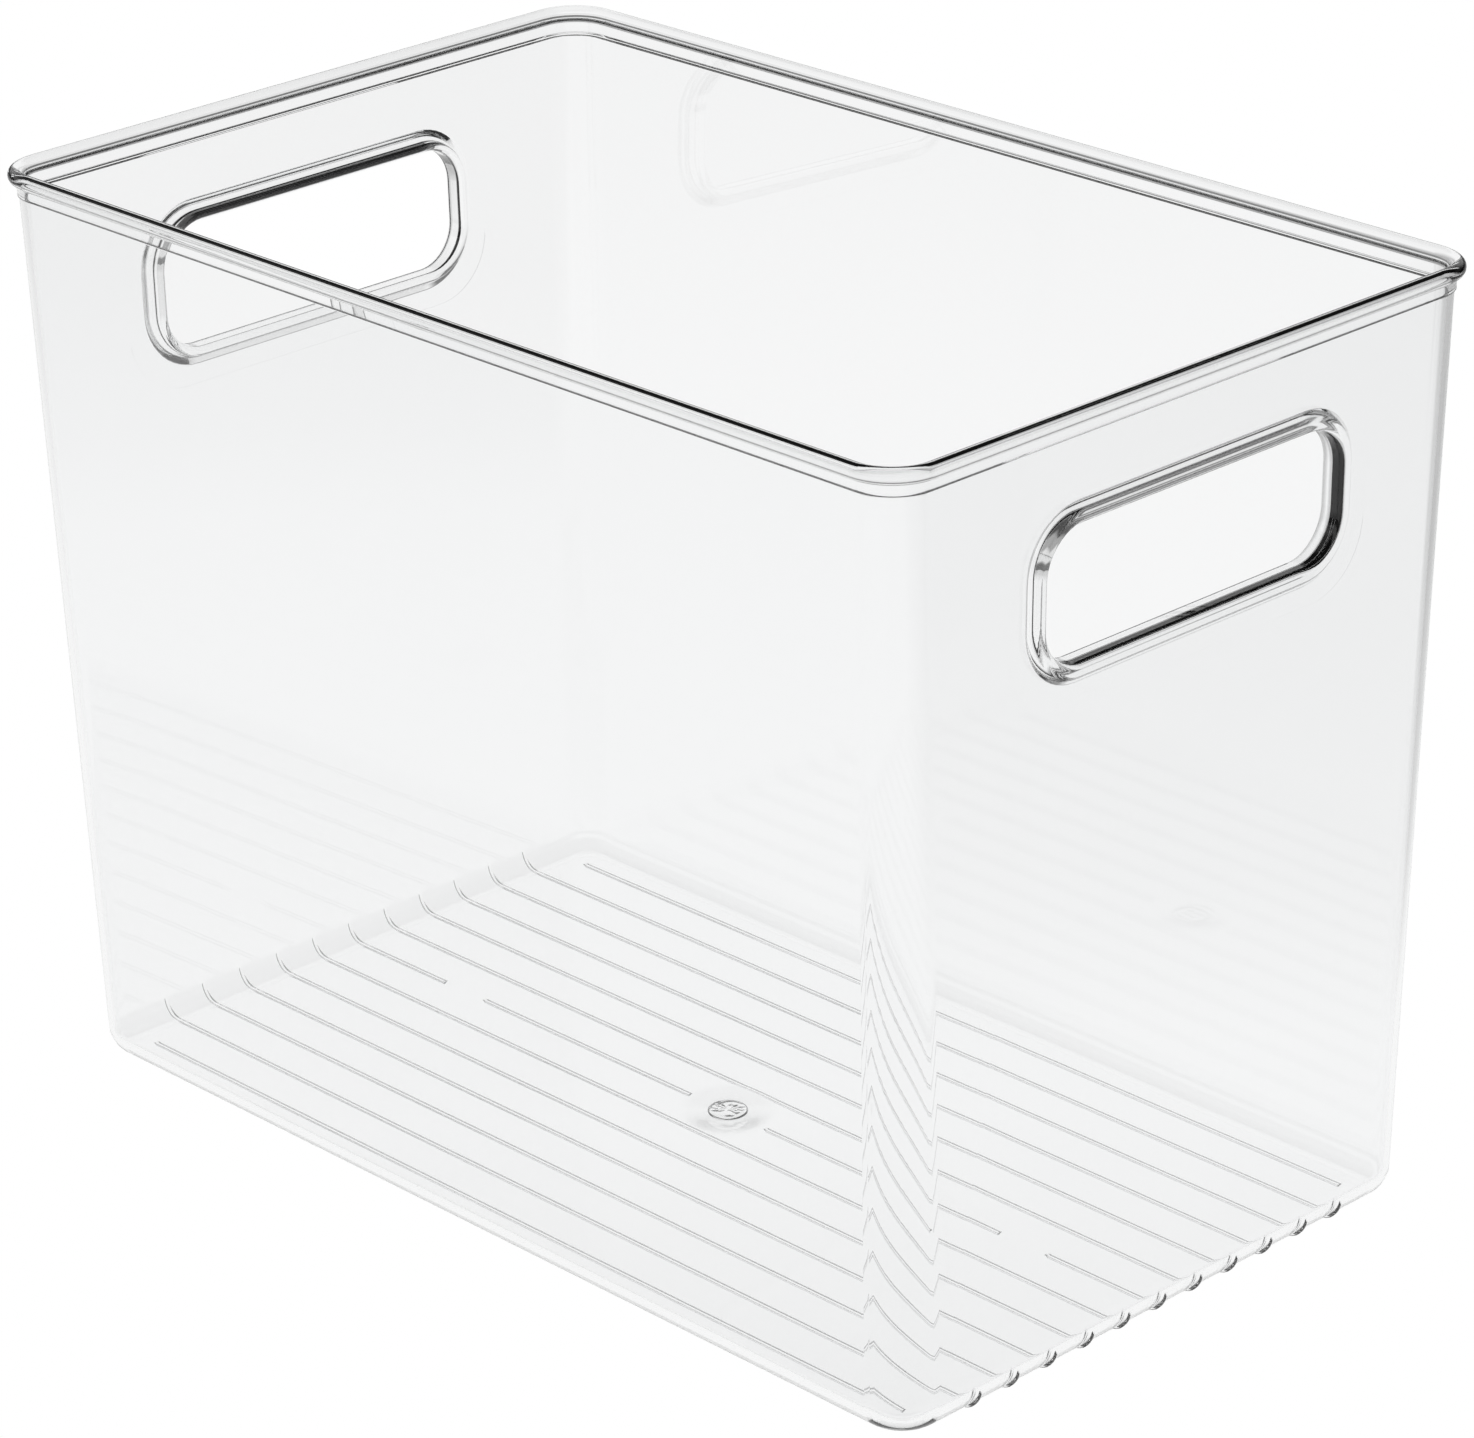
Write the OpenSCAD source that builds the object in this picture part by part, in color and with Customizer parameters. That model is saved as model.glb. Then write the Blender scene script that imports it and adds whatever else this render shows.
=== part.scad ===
// Clear fridge bin: one open-topped injection moulding, drawn as its named regions.
// The regions meet face to face and add up to the whole moulding.
// Origin: centre of the footprint, on the surface that the skid ribs stand on. +Z is up.
// The hand holes are in the two short ends, at -X and +X.

/* [Overall size] */
// Length over the rim
bin_l = 254; // [220:1:300]
// Width over the rim
bin_w = 161; // [155:1:200]
// Height from the surface it stands on to the top of the rim
bin_h = 198.2; // [100:0.1:230]

/* [Walls and floor] */
// Thickness of the walls and the floor
wall_t = 2; // [1.7:0.1:2.4]
// Inset of each end wall from rim to floor, as moulding draft
end_lean = 4; // [2:0.5:7]
// Inset of each long wall from rim to floor, as moulding draft
side_lean = 5.2; // [2:0.1:7]
// Outside radius of the upright corners at the rim
corner_top_r = 9; // [7:0.5:12]
// Outside radius of the upright corners at the floor
corner_base_r = 10; // [8:0.5:12]
// Outside radius of the curved edge round the floor
edge_r = 6; // [5:0.5:7]

/* [Rim] */
// Height of the whole rim section: band and bead
rim_h = 6; // [5:0.5:8]
// Width of the ledge inside the rim, where a lid or a stacked bin can sit
ledge_w = 0.9; // [0.6:0.1:1.1]
// How far the band stands out from the wall
band_out = 0.4; // [0.2:0.1:0.6]
// How far the round bead stands out from the band
bead_out = 1.7; // [1.2:0.1:2.2]

/* [Hand holes] */
// Clear width of a hand hole
hole_w = 80; // [70:1:90]
// Clear height of a hand hole
hole_h = 27; // [24:1:32]
// Corner radius of a hand hole
hole_r = 9; // [7:0.5:11]
// Distance from the top of the rim down to the middle of a hand hole
hole_drop = 35.9; // [27:0.1:50]
// Thickness of the collar's band round the hole
roll_w = 2; // [1.6:0.2:2.4]
// How far the rolled collar stands out of the wall
roll_out = 1.5; // [0.4:0.1:1.5]
// How deep the collar reaches in from the wall's outer face
roll_in = 3.7; // [3.6:0.1:6]
// Distance from the opening to the top of the collar's slanting outer side
slant_top = 2.6; // [2:0.1:3]
// Distance from the opening to the foot of the slanting outer side
slant_foot = 4.3; // [3.6:0.1:4.4]
// Width of the flat flange that joins the collar to the wall
flange_w = 4.8; // [4.4:0.2:6]

/* [Skid ribs] */
// Spacing of the ribs
rib_pitch = 10.4; // [9:0.1:10.9]
// Height of a rib below the floor
rib_h = 0.7; // [0.5:0.1:1.5]
// Width of a rib at its root
rib_root_w = 1.2; // [1:0.1:2]
// Width of a rib at its flat underside
rib_tip_w = 0.7; // [0.5:0.1:0.9]
// Half length of the two short outer ribs
short_rib_x = 110.8; // [80:0.1:110.9]
// How far the long ribs turn up round the ends, in degrees
rib_wrap = 80; // [30:5:85]
// Where the second gap of the middle rib begins, and where it ends
mid_gap_in = 75.5; // [60:0.5:80]
mid_gap_out = 88; // [84:0.5:95]

/* [Gate] */
// Diameter of the gate well under the floor
gate_well_d = 8.4; // [6:0.2:12]
// Depth of the gate well
gate_well_deep = 0.8; // [0.4:0.1:1]
// Diameter of the low round boss on the floor above the gate; the middle rib stops at its edge
gate_boss_d = 22; // [16:0.5:28]
// Rise of the gate boss above the floor
gate_rise = 0.5; // [0.4:0.1:1.2]

/* [Hidden] */
RIBS = 13;
MID_RIB = 7;
$fn = 64;

// The wall's outer faces, at the foot of the rim and at the top of the curved floor edge
rim_z = bin_h - rim_h;
foot_z = rib_h + edge_r;
top_x = bin_l / 2 - band_out - bead_out;
top_y = bin_w / 2 - band_out - bead_out;
foot_x = top_x - end_lean;
foot_y = top_y - side_lean;
// The upright planes where the walls meet the corners
cut_x = foot_x - corner_base_r;
cut_y = foot_y - corner_base_r;
// The round bead reaches from the ledge's back face to the outermost edge
bead_r = (wall_t - ledge_w + band_out + bead_out) / 2;
// A hand hole's middle on the leaning outer face of the right end wall
end_tilt = atan(end_lean / (rim_z - foot_z));
hole_z = bin_h - hole_drop;
hole_x = foot_x + (hole_z - foot_z) * tan(end_tilt);
// The long ribs' flat part ends where the curved floor edge begins
turn_x = foot_x - edge_r;
// A slice thin enough to stand for a flat outline
slice = 0.01;
// Clearance past a face for a cutting tool
past = 1;
clear_plastic = [0.88, 0.93, 0.95, 0.4];

// ---- Rings: a section swept round a rounded rectangle, from its four corners and four runs.
// The section's x is measured from the corner's centre; its y becomes z.
// Side 0 is +X, 1 is +Y, 2 is -X and 3 is -Y. Corner n follows side n.

module at_corner(side, w, h, r) {
    across = side % 2 == 0 ? w : h;
    along = side % 2 == 0 ? h : w;
    rotate(90 * side) translate([across / 2 - r, along / 2 - r, 0]) children();
}

module ring_corner(side, w, h, r) {
    at_corner(side, w, h, r) rotate_extrude(angle = 90) children();
}

module ring_run(side, w, h, r) {
    along = side % 2 == 0 ? h : w;
    at_corner(side, w, h, r) rotate([90, 0, 0]) linear_extrude(along - 2 * r) children();
}

module ring(w, h, r) {
    for (side = [0 : 3]) {
        ring_corner(side, w, h, r) children();
        ring_run(side, w, h, r) children();
    }
}

// A flat rounded rectangle from two bars and four discs
module rounded_rect(w, h, r) {
    square([w - 2 * r, h], center = true);
    square([w, h - 2 * r], center = true);
    for (sx = [-1, 1], sy = [-1, 1])
        translate([sx * (w / 2 - r), sy * (h / 2 - r)]) circle(r);
}

// ---- Base pan: the flat floor and the curved edge all round it

module edge_section() {
    flat = corner_base_r - edge_r;
    square([flat, wall_t]);
    translate([flat, edge_r]) intersection() {
        difference() {
            circle(edge_r);
            circle(edge_r - wall_t);
        }
        translate([0, -edge_r]) square(edge_r);
    }
}

module base_pan() {
    color(clear_plastic) difference() {
        translate([0, 0, rib_h]) {
            translate([-cut_x, -cut_y, 0]) cube([2 * cut_x, 2 * cut_y, wall_t]);
            ring(2 * foot_x, 2 * foot_y, corner_base_r) edge_section();
        }
        translate([0, 0, rib_h - past])
            cylinder(d = gate_well_d, h = gate_well_deep + past);
    }
}

// ---- Walls: leaning slabs between the upright corners

module wall_section(foot, top) {
    polygon([[foot, foot_z], [top, rim_z], [top - wall_t, rim_z], [foot - wall_t, foot_z]]);
}

module long_wall_rear() {
    color(clear_plastic) rotate([90, 0, 90])
        linear_extrude(2 * cut_x, center = true) wall_section(foot_y, top_y);
}

module long_wall_front() {
    mirror([0, 1, 0]) long_wall_rear();
}

// Places children on the right end wall: x runs along +Y, y runs up the wall, z points out
module on_end_wall() {
    translate([hole_x, 0, hole_z]) rotate([0, end_tilt, 0]) rotate([90, 0, 90]) children();
}

module end_wall_right() {
    color(clear_plastic) difference() {
        rotate([90, 0, 0]) linear_extrude(2 * cut_y, center = true) wall_section(foot_x, top_x);
        on_end_wall() translate([0, 0, -wall_t - past]) linear_extrude(wall_t + 2 * past)
            rounded_rect(hole_w + 2 * flange_w, hole_h + 2 * flange_w, hole_r + flange_w);
    }
}

module end_wall_left() {
    mirror([1, 0, 0]) end_wall_right();
}

// ---- Upright corners: the radius grows from rim to floor, so each is a blend of two discs

module tub(inset) {
    hull() for (sx = [-1, 1], sy = [-1, 1]) {
        translate([sx * (foot_x - corner_base_r), sy * (foot_y - corner_base_r), foot_z])
            cylinder(r = corner_base_r - inset, h = slice);
        translate([sx * (top_x - corner_top_r), sy * (top_y - corner_top_r), rim_z - slice])
            cylinder(r = corner_top_r - inset, h = slice);
    }
}

module corner(sx, sy) {
    color(clear_plastic) intersection() {
        difference() {
            tub(0);
            tub(wall_t);
        }
        scale([sx, sy, 1]) translate([cut_x, cut_y, 0]) cube([bin_l, bin_w, bin_h]);
    }
}

// ---- Rim: ledge, band and round bead, swept round the top

module rim_section() {
    inner = corner_top_r - wall_t + ledge_w;
    outer = corner_top_r + band_out;
    bead_z = rim_h - bead_r;
    polygon([[inner, 0], [corner_top_r, 0], [outer, band_out], [outer, bead_z], [inner, bead_z]]);
    translate([inner + bead_r, bead_z]) circle(bead_r);
}

module rim_run(side) {
    color(clear_plastic) translate([0, 0, rim_z])
        ring_run(side, 2 * top_x, 2 * top_y, corner_top_r) rim_section();
}

module rim_corner(side) {
    color(clear_plastic) translate([0, 0, rim_z])
        ring_corner(side, 2 * top_x, 2 * top_y, corner_top_r) rim_section();
}

// ---- Handles: a rolled collar round each hand hole, on a flange that joins the wall

module collar_section() {
    roll_r = roll_w / 2;
    translate([hole_r + roll_r, roll_out - roll_r]) circle(roll_r);
    translate([hole_r + roll_r, roll_r - roll_in]) circle(roll_r);
    translate([hole_r, roll_r - roll_in]) square([roll_w, roll_out + roll_in - roll_w]);
    translate([hole_r + roll_r, -wall_t]) square([flange_w - roll_r, wall_t]);
    translate([hole_r, 0]) polygon([[roll_r, -wall_t / 2], [roll_r, roll_out],
        [slant_top, roll_out], [slant_foot, 0], [slant_foot, -wall_t / 2]]);
}

module handle_right() {
    color(clear_plastic) on_end_wall() ring(hole_w, hole_h, hole_r) collar_section();
}

module handle_left() {
    mirror([1, 0, 0]) handle_right();
}

// ---- Skid ribs: the bin stands on them. All but the outer two turn up round the ends.

module rib_bar(from_x, to_x) {
    translate([from_x, 0, rib_h]) rotate([90, 0, 90]) linear_extrude(to_x - from_x)
        polygon([[-rib_root_w / 2, 0], [-rib_tip_w / 2, -rib_h],
                 [rib_tip_w / 2, -rib_h], [rib_root_w / 2, 0]]);
}

module place_rib(number) {
    translate([0, (number - MID_RIB) * rib_pitch, 0]) children();
}

module skid_rib(number) {
    color(clear_plastic) place_rib(number)
        if (number == 1 || number == RIBS) {
            rib_bar(-short_rib_x, short_rib_x);
        } else if (number == MID_RIB) {
            for (side = [0, 1]) mirror([side, 0, 0]) {
                rib_bar(gate_boss_d / 2, mid_gap_in);
                rib_bar(mid_gap_out, turn_x);
            }
        } else {
            rib_bar(-turn_x, turn_x);
        }
}

module rib_turn() {
    translate([turn_x, 0, foot_z]) rotate([90, 0, 0]) rotate(-90)
        rotate_extrude(angle = rib_wrap)
            polygon([[edge_r, -rib_root_w / 2], [edge_r + rib_h, -rib_tip_w / 2],
                     [edge_r + rib_h, rib_tip_w / 2], [edge_r, rib_root_w / 2]]);
}

module rib_ends_right() {
    color(clear_plastic) for (number = [2 : RIBS - 1]) place_rib(number) rib_turn();
}

module rib_ends_left() {
    mirror([1, 0, 0]) rib_ends_right();
}

// ---- Gate boss: a low disc with a sloping edge, on the floor above the gate well

module gate_boss() {
    color(clear_plastic) translate([0, 0, rib_h + wall_t])
        cylinder(d1 = gate_boss_d, d2 = gate_boss_d - 4 * gate_rise, h = gate_rise);
}

base_pan();
long_wall_front();
long_wall_rear();
end_wall_left();
end_wall_right();
corner(1, 1);  // corner_1
corner(-1, 1);  // corner_2
corner(-1, -1);  // corner_3
corner(1, -1);  // corner_4
rim_run(0);  // rim_right
rim_run(1);  // rim_rear
rim_run(2);  // rim_left
rim_run(3);  // rim_front
rim_corner(0);  // rim_corner_1
rim_corner(1);  // rim_corner_2
rim_corner(2);  // rim_corner_3
rim_corner(3);  // rim_corner_4
handle_left();
handle_right();
skid_rib(1);  // skid_rib_01
skid_rib(2);  // skid_rib_02
skid_rib(3);  // skid_rib_03
skid_rib(4);  // skid_rib_04
skid_rib(5);  // skid_rib_05
skid_rib(6);  // skid_rib_06
skid_rib(7);  // skid_rib_07
skid_rib(8);  // skid_rib_08
skid_rib(9);  // skid_rib_09
skid_rib(10);  // skid_rib_10
skid_rib(11);  // skid_rib_11
skid_rib(12);  // skid_rib_12
skid_rib(13);  // skid_rib_13
rib_ends_left();
rib_ends_right();
gate_boss();
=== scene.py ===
"""Looks of the clear fridge bin: one thin-walled moulding of polished, see-through plastic.

The skin is made here as one continuous surface with a true wall thickness, because a seam
between two clear solids would show as a line. It is then cut into named pieces along the
regions of the CAD model, and each piece stands for its CAD nodes. Lengths are in millimetres
until a mesh is made.
"""
import itertools
import math

import bpy
import numpy as np
from mathutils import Matrix, Vector
from mathutils.geometry import delaunay_2d_cdt


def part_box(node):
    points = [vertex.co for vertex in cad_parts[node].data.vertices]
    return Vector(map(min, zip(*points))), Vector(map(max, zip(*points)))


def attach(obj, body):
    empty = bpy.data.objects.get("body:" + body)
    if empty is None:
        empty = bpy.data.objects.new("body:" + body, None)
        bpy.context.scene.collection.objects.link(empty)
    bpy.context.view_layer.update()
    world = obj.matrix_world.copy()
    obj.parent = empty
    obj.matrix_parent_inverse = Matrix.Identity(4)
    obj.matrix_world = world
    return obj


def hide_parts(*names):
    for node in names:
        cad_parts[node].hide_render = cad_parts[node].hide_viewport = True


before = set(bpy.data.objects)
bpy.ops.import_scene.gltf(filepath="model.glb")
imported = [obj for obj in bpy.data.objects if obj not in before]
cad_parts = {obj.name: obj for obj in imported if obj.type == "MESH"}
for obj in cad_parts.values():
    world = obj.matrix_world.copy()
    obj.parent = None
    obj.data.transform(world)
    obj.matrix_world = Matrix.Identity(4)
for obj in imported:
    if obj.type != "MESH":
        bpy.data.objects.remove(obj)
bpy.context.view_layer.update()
MM = 1000.0


def span(node):
    """A CAD node's lowest and highest corners, in millimetres."""
    low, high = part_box(node)
    return np.array(low) * MM, np.array(high) * MM


def steps(node, axis):
    """The places along one axis where a CAD node has vertices, in millimetres."""
    values = [round(v.co[axis] * MM, 2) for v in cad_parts[node].data.vertices]
    return sorted(set(values))


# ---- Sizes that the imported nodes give

pan_low, pan_high = span("base_pan")
wall_high = span("end_wall_right")[1]
side_high = span("long_wall_rear")[1]
foot_x, foot_y = pan_high[0], pan_high[1]
top_x, top_y = wall_high[0], side_high[1]
rib_h, foot_z, rim_z = pan_low[2], pan_high[2], wall_high[2]
rim_top = span("rim_right")[1][2]
edge_r = foot_z - rib_h
wall_t = span("gate_boss")[0][2] - rib_h
cut_x, cut_y = span("corner_1")[0][:2]
top_cut_x, top_cut_y = span("rim_corner_1")[0][:2]
base_r, top_r = foot_x - cut_x, top_x - top_cut_x
over = span("rim_right")[1][0] - top_x
ledge_w = span("rim_right")[0][0] - (top_x - wall_t)
grip_low, grip_high = span("handle_right")
boss_low, boss_high = span("gate_boss")

# ---- Sizes of the smaller features

BAND_OUT = 0.4
BEAD_FILLET = 0.5
# Small roundings where the band, the rim's inside ledge and the wall meet
BAND_EASE = (0.06, 0.1)
LEDGE_R, WALL_EDGE_R = 0.2, 0.15
GRIP_R = 9.0
FLANGE = 4.8
# The collar's corners: reach from the opening, height out of the wall, and corner radius
COLLAR_FRONT = ((4.3, 0.0, 0.5), (2.6, 1.5, 1.4), (0.0, 1.5, 1.2))
COLLAR_BACK = ((0.0, -3.7, 0.9), (2.0, -3.7, 0.9))
COLLAR_INNER_CORNER = (2.0, 0.7)
WELL_R, WELL_DEEP = 4.2, 0.8
WELL_SIDE = 7.0
# The well's side: how far in from its mouth, and how far below its roof
WELL_CURVE = ((0.1, 0.25), (0.2, 0.08), (0.4, 0.0))
# The scar of the gate in the well's roof, and how much of the boss's radius its slope takes
SCAR, SCAR_ROWS = 0.14, (0.86, 0.7, 0.54, 0.38, 0.24, 0.1)
DOME_SLOPE = 0.7
# The groove round a hand hole: how far from the opening, its corner, half its width and its depth
WITNESS_REACH, WITNESS_R, WITNESS_WIDE, WITNESS_DEEP, WITNESS_GAP = 8.5, 14.0, 0.16, 0.05, 0.4
# How finely arcs are cut: points to a quarter turn of a corner, and points to a radian
CORNER_STEPS = 16
ARC_STEPS = 4.5
# The inner face of the upright corners is a little squarer than an arc
INNER_LESS, INNER_POWER = 2.35, 2.13
INNER_BASE_R, INNER_TOP_R = base_r - INNER_LESS, top_r - INNER_LESS


def turn(start, stop, count):
    """Angles in radians, from degrees."""
    return np.radians(np.linspace(start, stop, count + 1))


def arc(centre, radius, start, stop, count):
    return [(centre[0] + radius * math.cos(t), centre[1] + radius * math.sin(t))
            for t in turn(start, stop, count)]


# ---- The skin: points, faces and the piece that each face belongs to

# Points are kept by the cell that they lie in. Nearer than this share of a cell is the same point.
CELLS_PER_MM, NEAR = 2000, 0.2


class Skin:
    def __init__(self):
        self.points, self.index, self.faces, self.tags = [], {}, [], []

    def point(self, p):
        """The number of this point. A point beside an older one is the same point."""
        cells = [c * CELLS_PER_MM for c in p]
        for key in itertools.product(*[{math.floor(c - NEAR), math.floor(c + NEAR)} for c in cells]):
            if key in self.index:
                return self.index[key]
        self.index[tuple(math.floor(c) for c in cells)] = len(self.points)
        self.points.append(tuple(float(c) for c in p))
        return len(self.points) - 1

    def face(self, tag, corners):
        """Adds a face, seen from outside the plastic, with repeated corners left out."""
        ids = [self.point(p) for p in corners]
        ids = [v for k, v in enumerate(ids) if v != ids[k - 1]]
        if len(set(ids)) >= 3:
            self.faces.append(ids)
            self.tags.append(tag)

    def strip(self, tag, low, high, closed=True):
        """Quads between two rows of points that run anticlockwise seen from outside, low first."""
        count = len(low)
        for k in range(count if closed else count - 1):
            n = (k + 1) % count
            name = tag(k) if callable(tag) else tag
            self.face(name, [low[k], low[n], high[n], high[k]])


skin = Skin()


def inside(p, loop):
    """Whether a flat point lies in a loop."""
    hit = False
    for (x0, y0), (x1, y1) in zip(loop, loop[1:] + loop[:1]):
        if (y0 > p[1]) != (y1 > p[1]) and p[0] < x0 + (p[1] - y0) * (x1 - x0) / (y1 - y0):
            hit = not hit
    return hit


def fill(tag, edge, holes, lines, place, flip):
    """Fills a flat area with triangles. lines are (flat point, depth) runs that it must follow."""
    flat, links, depth = [], [], []
    for loop in [edge] + holes:
        first = len(flat)
        flat += loop
        depth += [0.0] * len(loop)
        links += [(first + k, first + (k + 1) % len(loop)) for k in range(len(loop))]
    for line in lines:
        first = len(flat)
        flat += [p for p, _ in line]
        depth += [d for _, d in line]
        links += [(first + k, first + k + 1) for k in range(len(line) - 1)]
    made = delaunay_2d_cdt([Vector(p) for p in flat], links, [], 1, 1e-5)
    spots, triangles, sources = made[0], made[2], made[3]
    deep = [max((depth[s] for s in source), key=abs, default=0.0) for source in sources]
    for t in triangles:
        middle = sum((spots[v] for v in t), Vector((0, 0))) / 3
        if any(inside(middle, hole) for hole in holes):
            continue
        corners = [place(spots[v][0], spots[v][1], deep[v]) for v in t]
        skin.face(tag, corners[::-1] if flip else corners)


# ---- Ribs: the height of each rib's section across its width

RIB_SECTION = [(0.6, 0.0), (0.53, 0.08), (0.47, 0.3), (0.41, 0.65), (0.36, 0.83),
               (0.27, 0.96), (0.15, 1.0), (0.0, 1.0)]
ribs = ["skid_rib_%02d" % n for n in range(1, 14)]
rib_y = [float((span(n)[0][1] + span(n)[1][1]) / 2) for n in ribs]
turn_x = span("skid_rib_02")[1][0]
short_x = span("skid_rib_01")[1][0]
gaps = [x for x in steps("skid_rib_07", 0) if 0 < x < turn_x - 0.01]
END_SLOPE = 0.5


def rib_share(y):
    """How high a rib stands at y, from 0 to 1, and which rib it is."""
    for number, middle in enumerate(rib_y):
        off = abs(y - middle)
        if off < RIB_SECTION[0][0]:
            outs = [s[0] for s in RIB_SECTION][::-1]
            return float(np.interp(off, outs, [s[1] for s in RIB_SECTION][::-1])), number
    return 0.0, None


def rib_run(number, x):
    """How high a rib stands along its length, from 0 to 1."""
    x = abs(x)
    if number in (0, len(ribs) - 1):
        return float(np.clip((short_x - x) / END_SLOPE, 0, 1))
    if number == len(ribs) // 2:
        near = np.clip((x - gaps[0]) / END_SLOPE, 0, 1) * np.clip((gaps[1] - x) / END_SLOPE, 0, 1)
        return float(near + np.clip((x - gaps[2]) / END_SLOPE, 0, 1))
    return 1.0


# ---- Columns: where the rings' points stand. Each is a centre and the way outwards from it.

rib_ys = [m + s * off for m in rib_y for off, _ in RIB_SECTION for s in (-1, 1)]
fine_y = sorted(set(round(y, 4) for y in rib_ys + [-cut_y, cut_y, -WELL_SIDE, WELL_SIDE]))
coarse_y = list(np.linspace(-cut_y, cut_y, 9))
rib_xs = [WELL_SIDE, gaps[0], gaps[0] + END_SLOPE, gaps[1] - END_SLOPE, gaps[1], gaps[2],
          gaps[2] + END_SLOPE, short_x - END_SLOPE, short_x, cut_x]
long_x = sorted(set(round(float(x), 4) for x in [-x for x in rib_xs] + [0.0] + rib_xs))


def columns(end_y, side_x, cx, cy, grow_x=1.0, grow_y=1.0, power=2.0):
    """Centres and outward ways, anticlockwise from the +X end's lowest y."""
    centres, ways = [], []
    corner = [(math.cos(t) ** (2 / power), math.sin(t) ** (2 / power))
              for t in turn(0, 90, CORNER_STEPS)[1:-1]]
    for side in range(4):
        spin = np.array([[0, -1], [1, 0]])
        spin = np.linalg.matrix_power(spin, side)
        stops = end_y if side % 2 == 0 else side_x
        reach, grow = (cx, grow_y) if side % 2 == 0 else (cy, grow_x)
        for s in stops:
            centres.append(spin @ np.array([reach, s * grow]))
            ways.append(spin @ np.array([1.0, 0.0]))
        last = spin @ np.array([reach, stops[-1] * grow])
        for way in corner:
            centres.append(last)
            ways.append(spin @ np.array(way))
    return np.array(centres), np.array(ways)


def ring(cols, reach, z):
    centres, ways = cols
    xy = centres + ways * np.broadcast_to(np.asarray(reach, float), len(ways))[:, None]
    heights = np.broadcast_to(np.asarray(z, float), len(ways))
    return [(p[0], p[1], h) for p, h in zip(xy, heights)]


def wall_ring(z, inside=False):
    """A ring of the leaning walls' outer or inner face at some height."""
    t = (z - foot_z) / (rim_z - foot_z)
    low, high = (inner_base_cols, inner_top_cols) if inside else (base_cols, top_cols)
    radii = (INNER_BASE_R, INNER_TOP_R) if inside else (base_r, top_r)
    centres = low[0] * (1 - t) + high[0] * t
    return ring((centres, low[1]), radii[0] * (1 - t) + radii[1] * t, z)


def end_part(row, side, end_count):
    """The points of a ring that stand on one end wall, from that wall's own left to right."""
    first = 0 if side > 0 else end_count + len(long_x) + 2 * (CORNER_STEPS - 1)
    return row[first:first + end_count]


grow_x, grow_y = top_cut_x / cut_x, top_cut_y / cut_y
base_fine = columns(fine_y, long_x, cut_x, cut_y)
base_cols = columns(coarse_y, long_x, cut_x, cut_y)
top_cols = columns(coarse_y, long_x, top_cut_x, top_cut_y, grow_x, grow_y)


def inner_columns(outer_x, outer_y, radius):
    cx, cy = outer_x - wall_t - radius, outer_y - wall_t - radius
    return columns(coarse_y, long_x, cx, cy, cx / cut_x, cy / cut_y, INNER_POWER)


inner_base_cols = inner_columns(foot_x, foot_y, INNER_BASE_R)
inner_top_cols = inner_columns(top_x, top_y, INNER_TOP_R)


def region(names, end_count, side_count):
    """Gives the piece that the quad after each column belongs to."""
    order = []
    for side, count in enumerate([end_count, side_count, end_count, side_count]):
        order += [names[side]] * (count - 1) + ["wall_corner_%d" % (side + 1)] * CORNER_STEPS
    return lambda k: order[k]


WALLS = ["wall_right", "wall_rear", "wall_left", "wall_front"]
wall_of = region(WALLS, len(coarse_y), len(long_x))


# ---- Floor and the curved edge round it

flat_r = base_r - edge_r
rib_at = [rib_share(c[1]) if abs(w[0]) > 0.999 else (0.0, None) for c, w in zip(*base_fine)]
wraps = np.array([share if number not in (None, 0, len(ribs) - 1) else 0.0
                  for share, number in rib_at])
# Degrees up the curved edge where the turned-up ribs end, and over which they fade
WRAP_END, WRAP_FADE = 82, 50
EDGE_ANGLES = (0, 8, 16, 24, 32, 40, 48, 56, 64, 72, 78, 80, 82, 86, 90)


def under_row(angle):
    """A ring of the curved edge's outer face, with the ribs that turn up round the ends."""
    t = math.radians(angle)
    fade = float(np.clip((WRAP_END - angle) / WRAP_FADE, 0, 1))
    out = edge_r + rib_h * wraps * fade
    return ring(base_fine, flat_r + out * math.sin(t), foot_z - out * math.cos(t))


def floor_point(x, y):
    share, number = rib_share(y)
    lift = share * rib_run(number, x) if number is not None else 0.0
    return (x, y, rib_h * (1 - lift))


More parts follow.
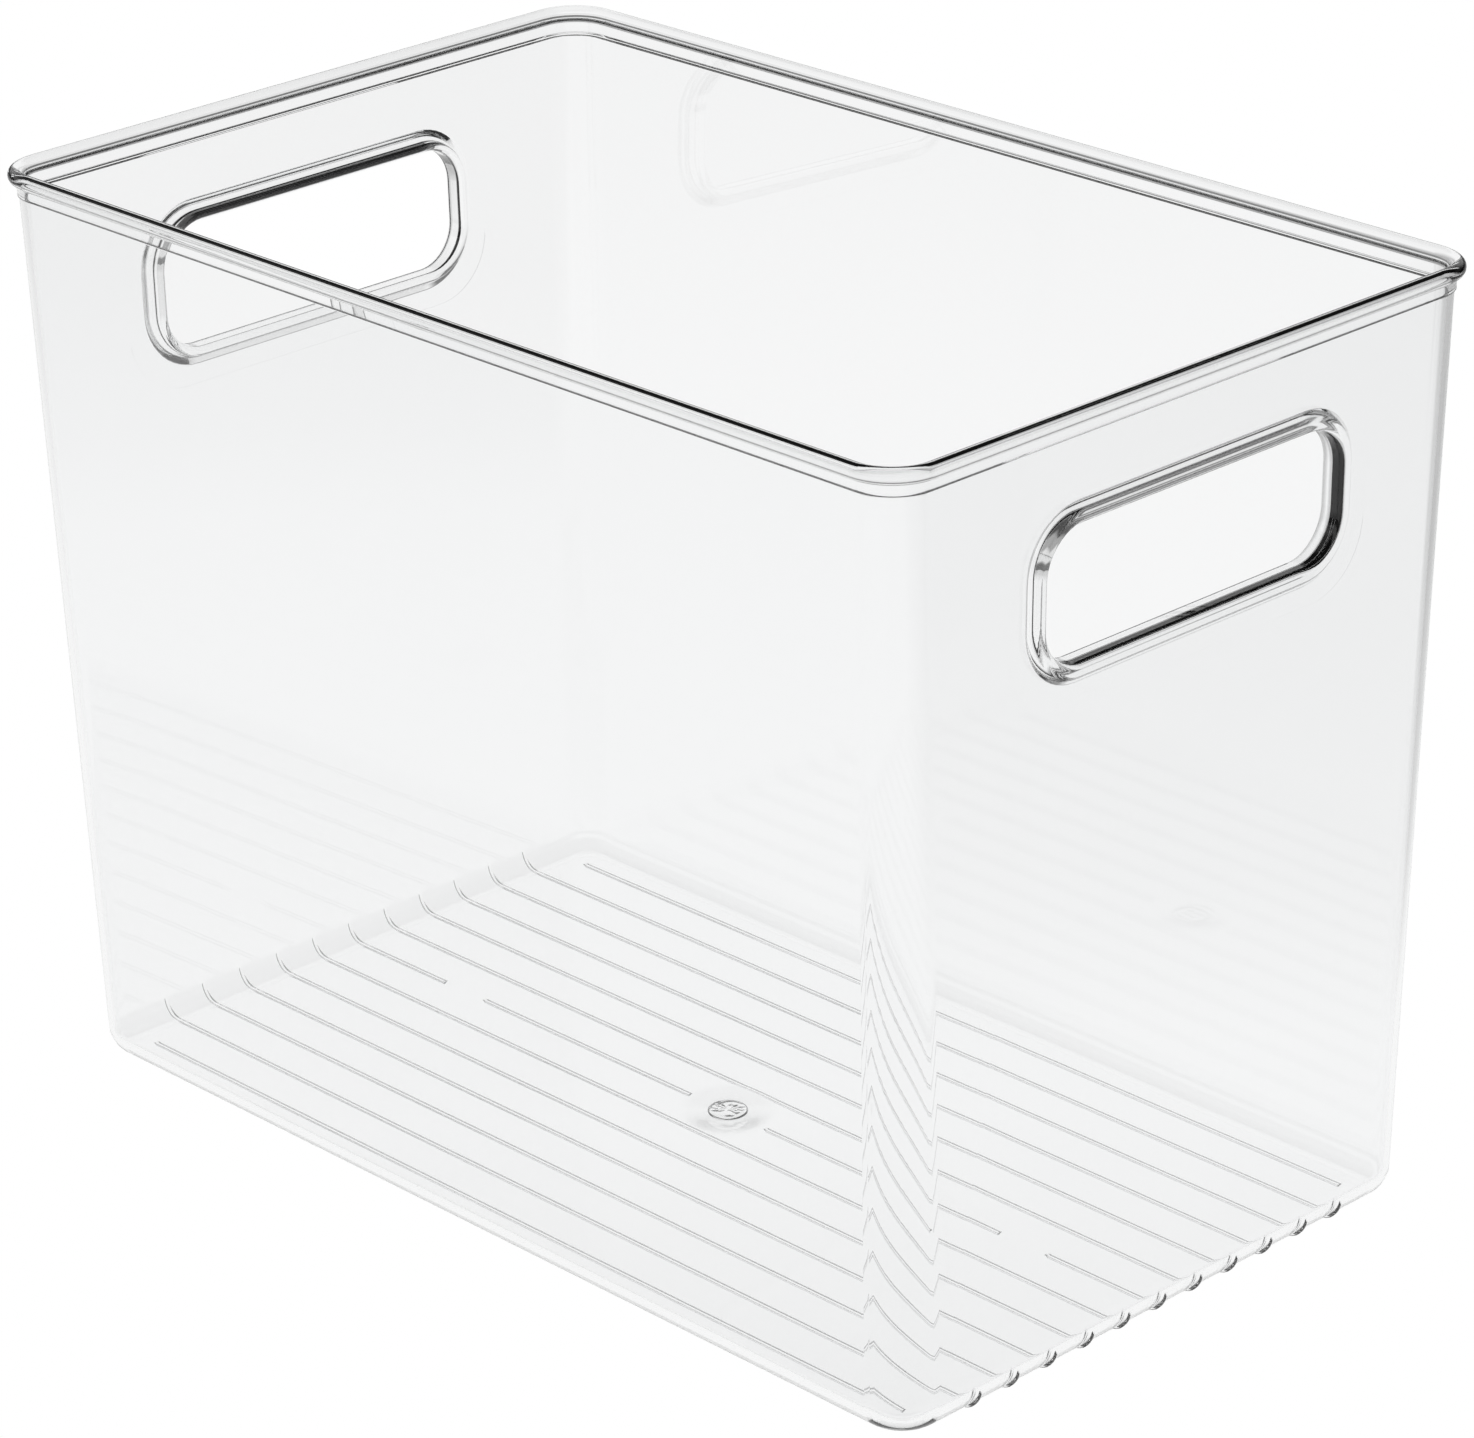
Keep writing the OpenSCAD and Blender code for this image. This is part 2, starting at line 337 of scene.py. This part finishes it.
def make_underside():
    grid_x = [-turn_x] + long_x + [turn_x]
    for x0, x1 in zip(grid_x, grid_x[1:]):
        for y0, y1 in zip(fine_y, fine_y[1:]):
            if abs(x0 + x1) / 2 < WELL_SIDE and abs(y0 + y1) / 2 < WELL_SIDE:
                continue
            corners = [floor_point(x, y) for x, y in ((x0, y0), (x0, y1), (x1, y1), (x1, y0))]
            skin.face("floor_pan", corners)
    for side in (-1, 1):
        for x0, x1 in zip(long_x, long_x[1:]):
            y0, y1 = sorted((side * cut_y, side * (cut_y + flat_r)))
            corners = [(x, y, rib_h) for x, y in ((x0, y0), (x0, y1), (x1, y1), (x1, y0))]
            skin.face("floor_pan", corners)
    for sx, sy, first in ((1, 1, 0), (-1, 1, 90), (-1, -1, 180), (1, -1, 270)):
        middle = (sx * cut_x, sy * cut_y)
        rim = arc(middle, flat_r, first, first + 90, CORNER_STEPS)
        for a, b in zip(rim, rim[1:]):
            skin.face("floor_pan", [(*middle, rib_h), (*b, rib_h), (*a, rib_h)])
    well = arc((0, 0), WELL_R, 0, 360, 32)[:-1]
    near_x = [x for x in long_x if abs(x) <= WELL_SIDE]
    near_y = [y for y in fine_y if abs(y) <= WELL_SIDE]
    edge = ([(x, -WELL_SIDE) for x in near_x[:-1]] + [(WELL_SIDE, y) for y in near_y[:-1]]
            + [(x, WELL_SIDE) for x in near_x[:0:-1]] + [(-WELL_SIDE, y) for y in near_y[:0:-1]])
    fill("floor_pan", edge, [well], [], lambda x, y, d: (x, y, rib_h), True)
    rise = [(WELL_R, 0.0)] + [(WELL_R - far, WELL_DEEP - below) for far, below in WELL_CURVE]
    rows = [[(p[0] * r / WELL_R, p[1] * r / WELL_R, rib_h + h) for p in well] for r, h in rise]
    for low, high in zip(rows, rows[1:]):
        skin.strip("floor_pan", high, low)
    for share in SCAR_ROWS:
        row = []
        for x, y, z in rows[len(WELL_CURVE)]:
            rough = math.sin(3 * math.atan2(y, x) + 9 * share) + math.sin(2 * x - 3 * y + 7 * share)
            row.append((x * share, y * share, z + SCAR * rough * min(1, 3 * share - 0.3)))
        rows.append(row)
        skin.strip("floor_pan", rows[-1], rows[-2])
    skin.face("floor_pan", rows[-1][::-1])


def make_curved_edge():
    rows = [under_row(a) for a in EDGE_ANGLES]
    for low, high in zip(rows, rows[1:]):
        skin.strip("floor_pan", low, high)
    inner = edge_r - wall_t
    reach = INNER_BASE_R - inner
    rows = [ring(inner_base_cols, reach + inner * math.sin(t), foot_z - inner * math.cos(t))
            for t in turn(0, 90, 10)]
    for low, high in zip(rows, rows[1:]):
        skin.strip("floor_pan", high, low)
    return rows[0]


def make_inner_floor(edge_ring):
    floor_z = rib_h + wall_t
    rise = boss_high[2] - boss_low[2]
    radius = float(boss_high[0])
    shape = [(radius * (1 - DOME_SLOPE * t / math.pi), rise * (1 - math.cos(t)) / 2)
             for t in turn(0, 180, 12)]
    edge = [(p[0], p[1]) for p in edge_ring]
    foot = arc((0, 0), radius, 0, 360, 64)[:-1]
    fill("floor_pan", edge, [foot], [], lambda x, y, d: (x, y, floor_z), False)
    rows = [[(p[0] * r / radius, p[1] * r / radius, floor_z + h) for p in foot]
            for r, h in shape]
    for low, high in zip(rows, rows[1:]):
        skin.strip("floor_pan", low, high)
    skin.face("floor_pan", rows[-1])


# ---- Rim: ledge, band and round bead


def rim_section():
    """Points across the rim, from the wall's outer face over the bead to its inner face."""
    inner = -(wall_t - ledge_w)
    bead_r = (over - inner) / 2
    height = rim_top - rim_z
    middle = (inner + bead_r, height - bead_r)
    f = BEAD_FILLET
    drop = math.sqrt((bead_r + f) ** 2 - (BAND_OUT + f - middle[0]) ** 2)
    hollow = (BAND_OUT + f, middle[1] - drop)
    lean = math.degrees(math.atan2(hollow[1] - middle[1], hollow[0] - middle[0]))
    return ([(0.0, 0.0), (BAND_OUT - BAND_EASE[0], BAND_OUT - BAND_EASE[1]), (BAND_OUT, BAND_OUT)]
            + arc(hollow, f, 180, 180 + lean, 6)
            + arc(middle, bead_r, lean, 180, 26)[1:]
            + arc((inner - LEDGE_R, LEDGE_R), LEDGE_R, 0, -90, 3)
            + arc((-wall_t + WALL_EDGE_R, -WALL_EDGE_R), WALL_EDGE_R, 90, 150, 2))


def make_rim():
    """Makes the rim and gives its last row, where the inner faces of the walls begin."""
    rows = [ring(top_cols, top_r + u, rim_z + v) for u, v in rim_section()]
    rows.append(wall_ring(rim_z - WALL_EDGE_R, True))
    for low, high in zip(rows, rows[1:]):
        skin.strip("rim", low, high)
    return rows[-1]


# ---- End walls with their hand holes

end_tilt = math.atan2(top_x - foot_x, rim_z - foot_z)
hole_z = float(grip_low[2] + grip_high[2] - wall_t * math.sin(end_tilt)) / 2
hole_w = float(grip_high[1]) * 2 - 2 * FLANGE
grip_tall = (float(grip_high[2] - grip_low[2]) - wall_t * math.sin(end_tilt)) / math.cos(end_tilt)
hole_h = grip_tall - 2 * FLANGE


def on_end(side, y, s, w):
    """A point on an end wall: y across it, s up it from the hand hole's middle, w out of it."""
    x = foot_x + (hole_z - foot_z) * math.tan(end_tilt)
    x += s * math.sin(end_tilt) + w * math.cos(end_tilt)
    return (side * x, side * y, hole_z + s * math.cos(end_tilt) - w * math.sin(end_tilt))


def grip_path(reach):
    """The rounded rectangle round a hand hole at some reach from the clear opening."""
    r = GRIP_R + reach
    path = []
    for sx, sy, first in ((1, 1, 0), (-1, 1, 90), (-1, -1, 180), (1, -1, 270)):
        middle = (sx * (hole_w / 2 - GRIP_R), sy * (hole_h / 2 - GRIP_R))
        path += arc(middle, r, first, first + 90, 12)
    return path


def rounded(corners):
    """A run through (x, y, radius) corners, each rounded by its radius."""
    run = []
    for before, corner, after in zip(corners, corners[1:], corners[2:]):
        here = Vector(corner[:2])
        one, other = (Vector(p[:2]) - here for p in (before, after))
        one.normalize(), other.normalize()
        half = one.angle(other) / 2
        middle = here + (one + other).normalized() * corner[2] / math.sin(half)
        first, last = (here + way * corner[2] / math.tan(half) - middle for way in (one, other))
        swing = first.angle_signed(last)
        count = max(2, round(abs(swing) * ARC_STEPS))
        for k in range(count + 1):
            spoke = first.copy()
            spoke.rotate(Matrix.Rotation(-swing * k / count, 2))
            run.append(tuple(middle + spoke))
    return [corners[0][:2]] + run + [corners[-1][:2]]


def grip_section():
    """The rolled collar's section: reach from the opening, and height out of the wall."""
    inner_face = -wall_t * math.cos(end_tilt)
    reach, radius = COLLAR_INNER_CORNER
    return rounded([(FLANGE, 0.0, 0.0), *COLLAR_FRONT, *COLLAR_BACK,
                    (reach, inner_face, radius), (FLANGE, inner_face, 0.0)])


def witness_lines():
    """The fine U-shaped groove that the hand hole's core leaves on the outer face."""
    half_w, low, r = hole_w / 2 + WITNESS_REACH, -hole_h / 2 - WITNESS_REACH, WITNESS_R
    top = (rim_z - hole_z) / math.cos(end_tilt) - WITNESS_GAP

    def run(shift):
        w, b = half_w + shift, low - shift
        path = [(-w, top - abs(shift))]
        path += arc((-w + r + shift, b + r + shift), r + shift, 180, 270, 12)
        path += arc((w - r - shift, b + r + shift), r + shift, 270, 360, 12)
        return path + [(w, top - abs(shift))]

    ends = [(-half_w, top), (half_w, top)]
    out, middle, back = run(WITNESS_WIDE), run(0.0), run(-WITNESS_WIDE)
    return [[(p, 0.0) for p in [ends[0]] + out + [ends[1]]],
            [(p, 0.0) for p in [ends[0]] + back + [ends[1]]],
            [(middle[0], 0.0)] + [(p, -WITNESS_DEEP) for p in middle[1:-1]]
            + [(middle[-1], 0.0)]]


def flat_edge(side, low, high, w):
    """The outline of an end wall's face, in the face's own plane."""
    points = low + high[::-1]
    up = 1 / math.cos(end_tilt)
    return [(side * p[1], (p[2] - hole_z + w * math.sin(end_tilt)) * up) for p in points]


def make_end_wall(side, inner_top):
    tag = "wall_right" if side > 0 else "wall_left"
    grip = "grip_right" if side > 0 else "grip_left"
    coarse, fine = len(coarse_y), len(fine_y)
    hole = grip_path(FLANGE)
    edge = flat_edge(side, end_part(under_row(90), side, fine),
                     end_part(wall_ring(rim_z), side, coarse), 0.0)
    fill(tag, edge, [hole], witness_lines(), lambda y, s, d: on_end(side, y, s, d), False)
    inner = -wall_t * math.cos(end_tilt)
    edge = flat_edge(side, end_part(wall_ring(foot_z, True), side, coarse),
                     end_part(inner_top, side, coarse), inner)
    fill(tag, edge, [hole], [], lambda y, s, d: on_end(side, y, s, inner), True)
    rows = [[on_end(side, y, s, w) for y, s in grip_path(a)] for a, w in grip_section()]
    for low, high in zip(rows, rows[1:]):
        skin.strip(grip, low, high)


def make_walls(inner_top):
    """The long walls and the upright corners, outer face and inner face."""
    outer = [wall_ring(foot_z), wall_ring(rim_z)]
    inner = [wall_ring(foot_z, True), inner_top]
    count = len(inner_top)
    for k in range(count):
        tag, n = wall_of(k), (k + 1) % count
        if tag in ("wall_right", "wall_left"):
            continue
        skin.face(tag, [outer[0][k], outer[0][n], outer[1][n], outer[1][k]])
        skin.face(tag, [inner[0][n], inner[0][k], inner[1][k], inner[1][n]])


def make_skin():
    make_underside()
    make_inner_floor(make_curved_edge())
    inner_top = make_rim()
    make_walls(inner_top)
    for side in (1, -1):
        make_end_wall(side, inner_top)


make_skin()

# ---- Pieces: the skin's smooth normals are worked out over the whole, then it is cut up

# Faces that bend more than this, in degrees, are not smoothed together
CREASE = 34.0
PIECES = {
    "floor_pan": ["base_pan", "gate_boss", "rib_ends_left", "rib_ends_right"] + ribs,
    "wall_front": ["long_wall_front"], "wall_rear": ["long_wall_rear"],
    "wall_left": ["end_wall_left"], "wall_right": ["end_wall_right"],
    "wall_corner_1": ["corner_1"], "wall_corner_2": ["corner_2"],
    "wall_corner_3": ["corner_3"], "wall_corner_4": ["corner_4"],
    "rim": ["rim_%s" % n for n in ("right", "rear", "left", "front")]
           + ["rim_corner_%d" % n for n in range(1, 5)],
    "grip_left": ["handle_left"], "grip_right": ["handle_right"],
}


def corner_normals():
    """A normal for each corner of each face: the faces round it that bend gently, by area."""
    points = np.array(skin.points)
    areas = []
    for face in skin.faces:
        p = points[face]
        areas.append(sum((np.cross(p[k] - p[0], p[k + 1] - p[0]) for k in range(1, len(p) - 1)),
                         np.zeros(3)) / 2)
    areas = np.array(areas)
    units = areas / np.linalg.norm(areas, axis=1)[:, None]
    round_point = [[] for _ in skin.points]
    for k, face in enumerate(skin.faces):
        for v in face:
            round_point[v].append(k)
    limit, normals = math.cos(math.radians(CREASE)), []
    for k, face in enumerate(skin.faces):
        mine = []
        for v in face:
            near = round_point[v]
            total = areas[near][units[near] @ units[k] > limit].sum(axis=0)
            mine.append(total / np.linalg.norm(total))
        normals.append(mine)
    return normals


def make_pieces(material):
    normals = corner_normals()
    for name, nodes in PIECES.items():
        chosen = [k for k, tag in enumerate(skin.tags) if tag == name]
        used = sorted({v for k in chosen for v in skin.faces[k]})
        place = {v: n for n, v in enumerate(used)}
        mesh = bpy.data.meshes.new(name)
        mesh.from_pydata([tuple(c / MM for c in skin.points[v]) for v in used], [],
                         [[place[v] for v in skin.faces[k]] for k in chosen])
        mesh.shade_smooth()
        mesh.normals_split_custom_set([tuple(n) for k in chosen for n in normals[k]])
        mesh.materials.append(material)
        piece = bpy.data.objects.new(name, mesh)
        bpy.context.scene.collection.objects.link(piece)
        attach(piece, "root")
        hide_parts(*nodes)


# ---- Material

PLASTIC_TINTS = ((0.974, 0.978, 0.980, 1), (0.984, 0.987, 0.988, 1))
PLASTIC_IOR = 1.57
CLOUD_SIZE, POLISH_SIZE, SWELL_SIZE = 14.0, 55.0, 11.0
# The noise values between which the polish dulls, and the roughness there
POLISH_SPREAD, POLISH = (0.45, 0.75), (0.0, 0.012)
SWELL_DEPTH, SWELL_SHARE = 0.0003, 0.25


def noise(nodes, links, vector, scale, detail):
    made = nodes.new("ShaderNodeTexNoise")
    made.inputs["Scale"].default_value = scale
    made.inputs["Detail"].default_value = detail
    links.new(vector, made.inputs["Vector"])
    return made.outputs["Fac"]


def clear_plastic():
    """Clear moulded polystyrene: a faint cloudy tint, polish marks and the moulding's slow swell."""
    made = bpy.data.materials.new("clear_plastic")
    made.use_nodes = True
    nodes, links = made.node_tree.nodes, made.node_tree.links
    shader = nodes["Principled BSDF"]
    shader.inputs["Transmission Weight"].default_value = 1.0
    shader.inputs["IOR"].default_value = PLASTIC_IOR
    where = nodes.new("ShaderNodeTexCoord").outputs["Object"]
    tint = nodes.new("ShaderNodeMix")
    tint.data_type = "RGBA"
    tint.inputs["A"].default_value, tint.inputs["B"].default_value = PLASTIC_TINTS
    links.new(noise(nodes, links, where, CLOUD_SIZE, 2.0), tint.inputs["Factor"])
    links.new(tint.outputs["Result"], shader.inputs["Base Color"])
    polish = nodes.new("ShaderNodeMapRange")
    for place, value in zip(("From Min", "From Max", "To Min", "To Max"), POLISH_SPREAD + POLISH):
        polish.inputs[place].default_value = value
    links.new(noise(nodes, links, where, POLISH_SIZE, 4.0), polish.inputs["Value"])
    links.new(polish.outputs["Result"], shader.inputs["Roughness"])
    swell = nodes.new("ShaderNodeBump")
    swell.inputs["Distance"].default_value = SWELL_DEPTH
    swell.inputs["Strength"].default_value = SWELL_SHARE
    links.new(noise(nodes, links, where, SWELL_SIZE, 1.0), swell.inputs["Height"])
    links.new(swell.outputs["Normal"], shader.inputs["Normal"])
    return made


make_pieces(clear_plastic())

# ---- Floor, light and camera

# The light is set out along the camera's own way: ACROSS points to its right, AWAY from it
CAM_AZ = 46.132
ACROSS = (math.cos(math.radians(CAM_AZ)), math.sin(math.radians(CAM_AZ)), 0.0)
AWAY = (-ACROSS[1], ACROSS[0], 0.0)
# The floor: metres across, and millimetres under the bin
FLOOR_SIZE, FLOOR_DROP = 6.0, 0.05
# The light that the floor gives: metres to the right, then metres away, and how bright it is
FLOOR_REACH = 1.0
STRIP = ((-0.90, 0.66), (-0.60, 0.78), (-0.34, 0.92), (-0.24, 0.945),
         (0.20, 0.945), (0.28, 0.70), (0.42, 0.52), (0.90, 0.50))
DEPTH = ((-0.95, 0.78), (-0.62, 0.84), (-0.45, 0.96), (-0.40, 1.0), (0.80, 1.0), (0.98, 0.90))
# Two soft boxes: sine of height, and how bright; then how far to the right, and how bright
LOW_BOX = ((0.00, 0.20), (0.14, 0.22), (0.22, 1.0), (0.46, 1.0), (0.56, 0.09))
LOW_BOX_TURN = ((-1.0, 0.75), (-0.70, 0.80), (-0.50, 0.90), (0.50, 0.90), (0.75, 0.12),
                (1.0, 0.08))
HIGH_BOX = ((0.46, 0.0), (0.56, 1.0), (0.82, 1.0), (0.90, 0.0))
HIGH_BOX_TURN = ((-1.0, 0.30), (-0.55, 0.30), (-0.35, 0.0))


def ramp_of(nodes, links, value, low, high, stops):
    """A grey that follows a value, from (value, brightness) stops."""
    spread = nodes.new("ShaderNodeMapRange")
    spread.inputs["From Min"].default_value = low
    spread.inputs["From Max"].default_value = high
    ramp = nodes.new("ShaderNodeValToRGB")
    marks = ramp.color_ramp.elements
    while len(marks) < len(stops):
        marks.new(0.5)
    for mark, (at, bright) in zip(marks, stops):
        mark.position = (at - low) / (high - low)
        mark.color = (bright, bright, bright, 1)
    links.new(value, spread.inputs["Value"])
    links.new(spread.outputs["Result"], ramp.inputs[0])
    return ramp.outputs["Color"]


def along(nodes, links, vector, way):
    """How far a vector reaches along a way."""
    dot = nodes.new("ShaderNodeVectorMath")
    dot.operation = "DOT_PRODUCT"
    dot.inputs[1].default_value = way
    links.new(vector, dot.inputs[0])
    return dot.outputs["Value"]


def product(nodes, links, one, other):
    made = nodes.new("ShaderNodeMix")
    made.data_type, made.blend_type = "RGBA", "MULTIPLY"
    made.inputs["Factor"].default_value = 1.0
    links.new(one, made.inputs["A"])
    links.new(other, made.inputs["B"])
    return made.outputs["Result"]


def make_floor():
    """A plain white floor. What it gives to the plastic is dimmer than what is seen of it."""
    bpy.ops.mesh.primitive_plane_add(size=FLOOR_SIZE, location=(0, 0, -FLOOR_DROP / MM))
    floor = bpy.context.object
    floor.name = "floor"
    made = bpy.data.materials.new("floor")
    made.use_nodes = True
    nodes, links = made.node_tree.nodes, made.node_tree.links
    nodes.clear()
    out = nodes.new("ShaderNodeOutputMaterial")
    glow = nodes.new("ShaderNodeEmission")
    where = nodes.new("ShaderNodeNewGeometry")
    shares = [ramp_of(nodes, links, along(nodes, links, where.outputs["Position"], way),
                      -FLOOR_REACH, FLOOR_REACH, stops)
              for way, stops in ((ACROSS, STRIP), (AWAY, DEPTH))]
    seen = nodes.new("ShaderNodeMix")
    seen.data_type = "RGBA"
    links.new(nodes.new("ShaderNodeLightPath").outputs["Is Camera Ray"], seen.inputs["Factor"])
    links.new(product(nodes, links, *shares), seen.inputs["A"])
    seen.inputs["B"].default_value = (1, 1, 1, 1)
    links.new(seen.outputs["Result"], glow.inputs["Color"])
    glow.inputs["Strength"].default_value = 1.0
    links.new(glow.outputs[0], out.inputs["Surface"])
    floor.data.materials.append(made)


def make_world():
    world = bpy.data.worlds.new("studio")
    bpy.context.scene.world = world
    world.use_nodes = True
    nodes, links = world.node_tree.nodes, world.node_tree.links
    where = nodes.new("ShaderNodeTexCoord")
    split = nodes.new("ShaderNodeSeparateXYZ")
    links.new(where.outputs["Generated"], split.inputs[0])
    aside = along(nodes, links, where.outputs["Generated"], ACROSS)
    lit = [product(nodes, links, ramp_of(nodes, links, split.outputs["Z"], 0, 1, heights),
                   ramp_of(nodes, links, aside, -1, 1, turns))
           for heights, turns in ((LOW_BOX, LOW_BOX_TURN), (HIGH_BOX, HIGH_BOX_TURN))]
    both = nodes.new("ShaderNodeVectorMath")
    both.operation = "ADD"
    links.new(lit[0], both.inputs[0])
    links.new(lit[1], both.inputs[1])
    links.new(both.outputs["Vector"], nodes["Background"].inputs["Color"])


CAM_TILT, CAM_ROLL = 23.469, -0.983
CAM_ASIDE, CAM_UP, CAM_BACK = 0.001083, 0.08224, 1.193
FOCAL, PICTURE_W = 5741.0, 1474.0


def make_camera():
    az, tilt, roll = (math.radians(v) for v in (CAM_AZ, CAM_TILT, CAM_ROLL))
    forward = Vector((-math.sin(az) * math.cos(tilt), math.cos(az) * math.cos(tilt),
                      -math.sin(tilt)))
    right = Vector((math.cos(az), math.sin(az), 0))
    up = right.cross(forward)
    right, up = (math.cos(roll) * right + math.sin(roll) * up,
                 -math.sin(roll) * right + math.cos(roll) * up)
    place = right * CAM_ASIDE + up * CAM_UP - forward * CAM_BACK
    place.z += rib_h / MM
    lens = bpy.data.cameras.new("camera")
    lens.sensor_width = 36.0
    lens.lens = FOCAL / PICTURE_W * lens.sensor_width
    lens.clip_start, lens.clip_end = 0.05, 20.0
    camera = bpy.data.objects.new("camera", lens)
    bpy.context.scene.collection.objects.link(camera)
    turned = Matrix((right, up, -forward)).transposed().to_4x4()
    turned.translation = place
    camera.matrix_world = turned
    bpy.context.scene.camera = camera


make_floor()
make_world()
make_camera()
bpy.context.scene.view_settings.view_transform = "Standard"
